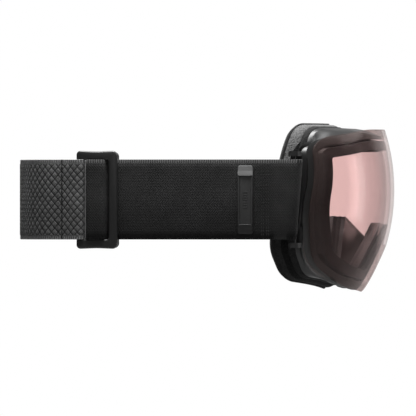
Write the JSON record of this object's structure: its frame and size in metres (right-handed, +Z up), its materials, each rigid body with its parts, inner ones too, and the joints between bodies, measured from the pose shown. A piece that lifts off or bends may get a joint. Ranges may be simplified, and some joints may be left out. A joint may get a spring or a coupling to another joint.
{
  "type": "ski goggles",
  "caption": "Frameless toric-lens ski goggles with layered face foam, side outriggers and an adjustable elastic head strap.",
  "frame": {"origin": "middle of the face seat, where the fleece meets the brow", "axes": "+Y from the lens towards the back of the head, +Z up, the wearer's right is -X"},
  "size_m": [0.1826, 0.2261, 0.1024],
  "materials": {
    "frame": "satin soft-moulded polyurethane",
    "carrier": "black moulded plastic",
    "magnet": "nickel-plated",
    "keeper": "plain steel plate",
    "vent_foam": "open-cell foam",
    "base_foam": "firm fine-cell foam",
    "comfort_foam": "soft open-cell foam",
    "fleece": "brushed microfleece",
    "outrigger": "satin",
    "outer_lens": "rose-tinted polycarbonate, glossy",
    "gasket": "matt foam tape",
    "inner_lens": "clear anti-fog sheet",
    "front_webbing": "knit elastic webbing",
    "rear_webbing": "embossed elastic webbing",
    "stitching": "thread",
    "badge": "moulded, satin",
    "slider": "moulded acetal, satin",
    "grip": "printed silicone"
  },
  "bodies": {
    "root": {"face_frame": "frame", "lens_carrier": "carrier", "frame_magnets": "magnet", "top_vent_foam": "vent_foam", "bottom_vent_foam": "vent_foam", "base_foam": "base_foam", "comfort_foam": "comfort_foam", "face_fleece": "fleece", "outrigger_left": "outrigger", "outrigger_right": "outrigger"},
    "lens_unit": {"outer_lens": "outer_lens", "lens_gasket": "gasket", "inner_lens": "inner_lens", "lens_keepers": "keeper"},
    "strap_left": {"front_strap_left": "front_webbing", "anchor_stitching_left": "stitching", "badge_left": "badge"},
    "strap_right": {"front_strap_right": "front_webbing", "anchor_stitching_right": "stitching", "badge_right": "badge"},
    "slider_body_left": {"slider_left": "slider"},
    "slider_body_right": {"slider_right": "slider"},
    "tail_left": {"strap_tail_left": "front_webbing"},
    "tail_right": {"strap_tail_right": "front_webbing"},
    "rear": {"rear_strap": "rear_webbing", "rear_seam_left": "stitching", "rear_seam_right": "stitching", "grip_strips": "grip"}
  },
  "joints": [
    {"name": "lens_release", "type": "slide", "parent": "root", "child": "lens_unit", "axis": [0, -1, 0], "range_m": [0, 0.025]},
    {"name": "strap_swing_left", "type": "hinge", "parent": "root", "child": "strap_left", "pos_m": [0.0875, 0.021, 0.0063], "axis": [0, 0, 1], "range_deg": [-6, 6]},
    {"name": "strap_swing_right", "type": "hinge", "parent": "root", "child": "strap_right", "pos_m": [-0.0875, 0.021, 0.0063], "axis": [0, 0, 1], "range_deg": [-6, 6]},
    {"name": "slider_left_slide", "type": "slide", "parent": "strap_left", "child": "slider_body_left", "axis": [0, -1, 0], "range_m": [-0.02, 0.024], "deforming": ["front_strap_left"]},
    {"name": "slider_right_slide", "type": "slide", "parent": "strap_right", "child": "slider_body_right", "axis": [0, -1, 0], "range_m": [-0.02, 0.024], "deforming": ["front_strap_right"]},
    {"name": "tail_left_slide", "type": "slide", "parent": "slider_body_left", "child": "tail_left", "axis": [0.1201, -0.9928, 0], "range_m": [-0.02, 0.024], "deforming": ["strap_tail_left"]},
    {"name": "tail_right_slide", "type": "slide", "parent": "slider_body_right", "child": "tail_right", "axis": [-0.1201, -0.9928, 0], "range_m": [-0.02, 0.024], "deforming": ["strap_tail_right"]},
    {"name": "rear_strap_pivot", "type": "hinge", "parent": "slider_body_left", "child": "rear", "pos_m": [0.07486, 0.14961, 0.0063], "axis": [0, 0, 1], "range_deg": [-7.2, 7.2]}
  ],
  "couplings": [
    {"joint": "strap_swing_right", "follows": "strap_swing_left", "ratio": 1},
    {"joint": "rear_strap_pivot", "follows": "strap_swing_left", "ratio": -1.1689},
    {"joint": "slider_right_slide", "follows": "slider_left_slide", "ratio": 1},
    {"joint": "tail_left_slide", "follows": "slider_left_slide", "ratio": 1},
    {"joint": "tail_right_slide", "follows": "slider_left_slide", "ratio": 1}
  ]
}
